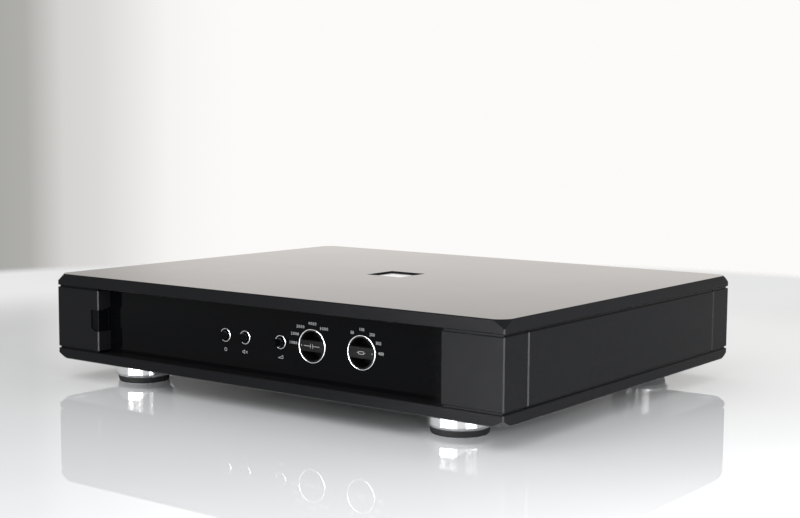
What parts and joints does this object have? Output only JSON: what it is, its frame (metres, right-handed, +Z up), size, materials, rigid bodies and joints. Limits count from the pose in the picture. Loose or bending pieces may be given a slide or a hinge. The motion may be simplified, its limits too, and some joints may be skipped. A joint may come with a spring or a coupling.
{
  "type": "phono preamp",
  "caption": "Full-width phono preamplifier: black plates over a recessed gloss panel with dials and buttons, polished feet and rear sockets",
  "frame": {"origin": "on the surface the feet stand on, under the middle of the case", "axes": "+X right as seen from the front, +Y to the rear, +Z up"},
  "size_m": [0.432, 0.347, 0.0862],
  "materials": {
    "satin_black_metal": "satin black anodised, fine bead-blasted grain",
    "gloss_black_panel": "deep gloss black",
    "satin_black_knob": "machined and black anodised, soft satin",
    "polished_aluminium": "turned and polished",
    "bright_trim": "polished edge",
    "black_rubber": "matt moulded rubber",
    "plated_steel": "zinc plated",
    "black_plastic": "moulded, lightly textured",
    "gold_plate": "gold plated",
    "white_insulator": "smooth",
    "pale_relay_case": "moulded",
    "fuse_glass": "clear tube with metal caps",
    "circuit_board": "solder mask over glass fibre",
    "wound_core": "steel core and copper windings under tape",
    "capacitor_sleeve": "shrunk sleeve"
  },
  "bodies": {
    "case": {"top_plate": "satin_black_metal", "bottom_plate": "satin_black_metal", "top_inlay": "bright_trim", "front_left_post": "satin_black_metal", "front_right_post": "satin_black_metal", "rear_left_post": "satin_black_metal", "rear_right_post": "satin_black_metal", "left_side_panel": "satin_black_metal", "right_side_panel": "satin_black_metal", "front_panel": "gloss_black_panel", "front_subpanel": "plated_steel", "rear_panel": "satin_black_metal", "front_left_foot": "polished_aluminium", "front_right_foot": "polished_aluminium", "rear_left_foot": "polished_aluminium", "rear_right_foot": "polished_aluminium", "front_left_pad": "black_rubber", "front_right_pad": "black_rubber", "rear_left_pad": "black_rubber", "rear_right_pad": "black_rubber", "base_screws": "plated_steel", "rear_screws": "plated_steel", "dial_rings": "bright_trim", "button_rings": "bright_trim", "rotary_switches": "black_plastic", "button_switches": "gloss_black_panel", "control_board": "circuit_board", "power_switch": "black_plastic", "mains_inlet": "black_plastic", "mains_blades": "plated_steel", "input_xlr_sockets": "black_plastic", "input_xlr_inserts": "black_plastic", "output_xlr_sockets": "black_plastic", "output_xlr_pins": "gold_plate", "rca_sockets": "gold_plate", "rca_insulators": "white_insulator", "ground_post": "plated_steel", "transformer": "wound_core", "transformer_pads": "black_rubber", "transformer_bolt": "plated_steel", "power_board": "circuit_board", "audio_board": "circuit_board", "reservoir_capacitors": "capacitor_sleeve", "relays": "pale_relay_case", "shield_wall": "plated_steel", "board_standoffs": "plated_steel"},
    "capacitance_dial": {"capacitance_knob": "satin_black_knob", "capacitance_shaft": "plated_steel"},
    "load_dial": {"load_knob": "satin_black_knob", "load_shaft": "plated_steel"},
    "mono_button": {"mono_button": "gloss_black_panel"},
    "mute_button": {"mute_button": "gloss_black_panel"},
    "gain_button": {"gain_button": "gloss_black_panel"},
    "power_button": {"power_button": "gloss_black_panel"},
    "fuse_drawer": {"fuse_drawer": "black_plastic", "fuse": "fuse_glass"},
    "left_latch": {"left_latch": "plated_steel"},
    "right_latch": {"right_latch": "plated_steel"},
    "ground_washer": {"ground_washer": "plated_steel"},
    "ground_nut": {"ground_nut": "gold_plate"}
  },
  "joints": [
    {"name": "capacitance_turn", "type": "hinge", "parent": "case", "child": "capacitance_dial", "pos_m": [0.046, -0.1605, 0.0509], "axis": [0, 1, 0], "range_deg": [0, 120]},
    {"name": "load_turn", "type": "hinge", "parent": "case", "child": "load_dial", "pos_m": [0.091, -0.1605, 0.0509], "axis": [0, 1, 0], "range_deg": [-120, 0]},
    {"name": "mono_press", "type": "slide", "parent": "case", "child": "mono_button", "axis": [0, 1, 0], "range_m": [-0.0042, 0.0008]},
    {"name": "mute_press", "type": "slide", "parent": "case", "child": "mute_button", "axis": [0, 1, 0], "range_m": [-0.0042, 0.0008]},
    {"name": "gain_press", "type": "slide", "parent": "case", "child": "gain_button", "axis": [0, 1, 0], "range_m": [0, 0.005]},
    {"name": "power_press", "type": "slide", "parent": "case", "child": "power_button", "axis": [0, 1, 0], "range_m": [0, 0.002]},
    {"name": "fuse_drawer_slide", "type": "slide", "parent": "case", "child": "fuse_drawer", "axis": [0, 1, 0], "range_m": [0, 0.016]},
    {"name": "left_latch_press", "type": "slide", "parent": "case", "child": "left_latch", "axis": [0, -1, 0], "range_m": [0, 0.0015], "stiffness_N_per_m": 300},
    {"name": "right_latch_press", "type": "slide", "parent": "case", "child": "right_latch", "axis": [0, -1, 0], "range_m": [0, 0.0015], "stiffness_N_per_m": 300},
    {"name": "ground_washer_slide", "type": "slide", "parent": "case", "child": "ground_washer", "axis": [0, 1, 0], "range_m": [0, 0.0021]},
    {"name": "ground_nut_turn", "type": "hinge", "parent": "ground_washer", "child": "ground_nut", "pos_m": [0.013, 0.164, 0.0509], "axis": [0, 1, 0], "range_deg": [0, 1080]}
  ],
  "couplings": [
    {"joint": "ground_nut_turn", "follows": "ground_washer_slide", "rad_per_m": 8976}
  ]
}
